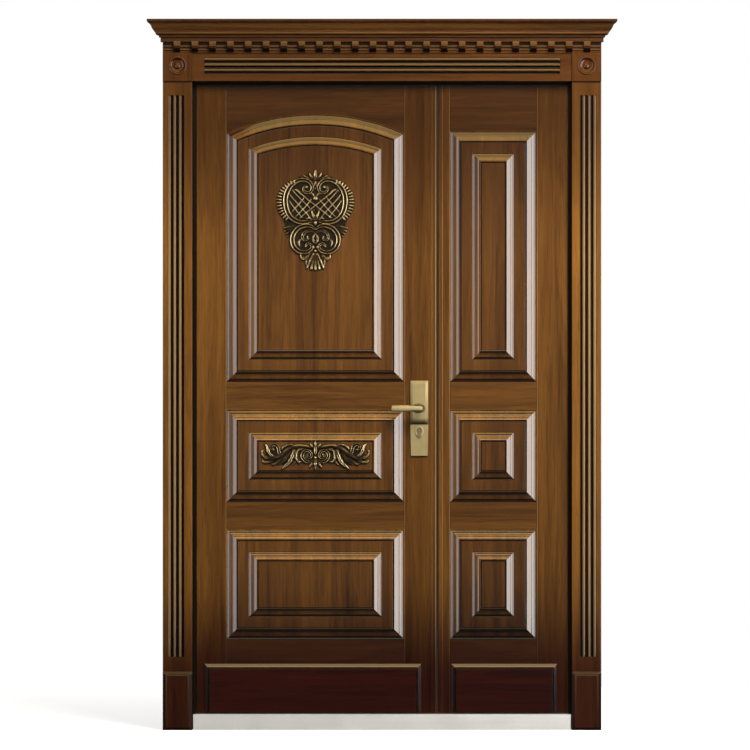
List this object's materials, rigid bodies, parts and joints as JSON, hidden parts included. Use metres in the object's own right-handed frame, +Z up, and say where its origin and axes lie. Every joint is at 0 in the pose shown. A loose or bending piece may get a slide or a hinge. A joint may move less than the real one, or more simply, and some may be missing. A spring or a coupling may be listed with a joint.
{
  "type": "armored security door",
  "caption": "Armored double door with a wide and a narrow leaf, walnut cladding with raised panels and bronze carving, in a steel frame with a reeded, corniced casing; opens inwards.",
  "frame": {"origin": "middle of the opening, at floor level, on the outer wall plane that the casing lies on", "axes": "+Z up, +X to the right seen from outside, +Y inwards through the wall"},
  "size_m": [1.52, 0.2044, 2.3],
  "materials": {
    "casing_wood": "glossy walnut varnish, grain along the board",
    "stile_wood": "glossy walnut varnish, upright grain",
    "rail_wood": "glossy walnut varnish, level grain",
    "panel_wood": "glossy walnut varnish, upright grain",
    "kick_wood": "dark reddish walnut varnish, level grain",
    "inner_wood": "satin walnut veneer board",
    "bronze_carving": "antique bronze, dark in the hollows and rubbed on the crests",
    "frame_steel": "dark brown powder coat",
    "skin_steel": "brown primed sheet steel",
    "sill_steel": "satin stainless, brushed along its length",
    "lock_metal": "pale brushed antique brass",
    "plug_metal": "turned brass",
    "bolt_steel": "ground steel",
    "hinge_steel": "zinc plated steel",
    "seal_rubber": "black foam rubber",
    "mineral_slab": "pressed mineral fibre"
  },
  "bodies": {
    "frame": {"left_jamb": "frame_steel", "right_jamb": "frame_steel", "frame_head": "frame_steel", "threshold": "sill_steel", "frame_gasket": "seal_rubber", "wall_lugs": "hinge_steel", "left_pilaster": "casing_wood", "right_pilaster": "casing_wood", "left_plinth_block": "casing_wood", "right_plinth_block": "casing_wood", "left_rosette_block": "casing_wood", "right_rosette_block": "casing_wood", "frieze_board": "casing_wood", "dentil_band": "casing_wood", "crown_cornice": "casing_wood", "main_hinge_pins": "hinge_steel", "side_hinge_pins": "hinge_steel"},
    "main_leaf": {"main_outer_skin": "skin_steel", "main_inner_skin": "skin_steel", "main_stiffeners": "skin_steel", "main_insulation": "mineral_slab", "main_stiles": "stile_wood", "main_rails": "rail_wood", "main_upper_panel": "panel_wood", "main_middle_panel": "panel_wood", "main_lower_panel": "panel_wood", "main_kick_board": "kick_wood", "main_inner_cladding": "inner_wood", "main_hinge_leaves": "hinge_steel", "main_medallion": "bronze_carving", "main_scroll_ornament": "bronze_carving", "lock_case": "bolt_steel", "lock_forend": "bolt_steel", "outer_lock_plate": "lock_metal", "inner_lock_plate": "lock_metal", "lock_cylinder": "plug_metal"},
    "side_leaf": {"side_outer_skin": "skin_steel", "side_inner_skin": "skin_steel", "side_stiffeners": "skin_steel", "side_insulation": "mineral_slab", "side_stiles": "stile_wood", "side_rails": "rail_wood", "side_upper_panel": "panel_wood", "side_middle_panel": "panel_wood", "side_lower_panel": "panel_wood", "side_kick_board": "kick_wood", "side_inner_cladding": "inner_wood", "side_hinge_leaves": "hinge_steel", "strike_plate": "bolt_steel"},
    "lever": {"outer_lever": "lock_metal", "lever_spindle": "bolt_steel", "inner_lever": "lock_metal"},
    "bolts": {"dead_bolts": "bolt_steel"},
    "upper_rod": {"top_rod": "bolt_steel"},
    "lower_rod": {"bottom_rod": "bolt_steel"},
    "key_turn": {"key_plug": "plug_metal", "thumbturn": "lock_metal"},
    "upper_flush_bolt": {"top_flush_bolt": "bolt_steel"},
    "lower_flush_bolt": {"bottom_flush_bolt": "bolt_steel"}
  },
  "joints": [
    {"name": "main_leaf_swing", "type": "hinge", "parent": "frame", "child": "main_leaf", "pos_m": [-0.615, 0.084, 1.09], "axis": [0, 0, 1], "range_deg": [0, 100]},
    {"name": "side_leaf_swing", "type": "hinge", "parent": "frame", "child": "side_leaf", "pos_m": [0.615, 0.084, 1.09], "axis": [0, 0, -1], "range_deg": [0, 100]},
    {"name": "lever_lift", "type": "hinge", "parent": "main_leaf", "child": "lever", "pos_m": [0.121, 0.0405, 1.042], "axis": [0, 1, 0], "range_deg": [0, 45]},
    {"name": "dead_bolt_throw", "type": "slide", "parent": "main_leaf", "child": "bolts", "axis": [1, 0, 0], "range_m": [0, 0.026]},
    {"name": "upper_rod_throw", "type": "slide", "parent": "main_leaf", "child": "upper_rod", "axis": [0, 0, 1], "range_m": [0, 0.025]},
    {"name": "lower_rod_throw", "type": "slide", "parent": "main_leaf", "child": "lower_rod", "axis": [0, 0, -1], "range_m": [0, 0.025]},
    {"name": "key_turn", "type": "hinge", "parent": "main_leaf", "child": "key_turn", "pos_m": [0.121, 0.0405, 0.971], "axis": [0, 1, 0], "range_deg": [0, 90]},
    {"name": "upper_flush_bolt_slide", "type": "slide", "parent": "side_leaf", "child": "upper_flush_bolt", "axis": [0, 0, 1], "range_m": [0, 0.022]},
    {"name": "lower_flush_bolt_slide", "type": "slide", "parent": "side_leaf", "child": "lower_flush_bolt", "axis": [0, 0, -1], "range_m": [0, 0.022]}
  ],
  "couplings": [
    {"joint": "dead_bolt_throw", "follows": "lever_lift", "m_per_rad": 0.033104},
    {"joint": "upper_rod_throw", "follows": "lever_lift", "m_per_rad": 0.031831},
    {"joint": "lower_rod_throw", "follows": "lever_lift", "m_per_rad": 0.031831}
  ]
}
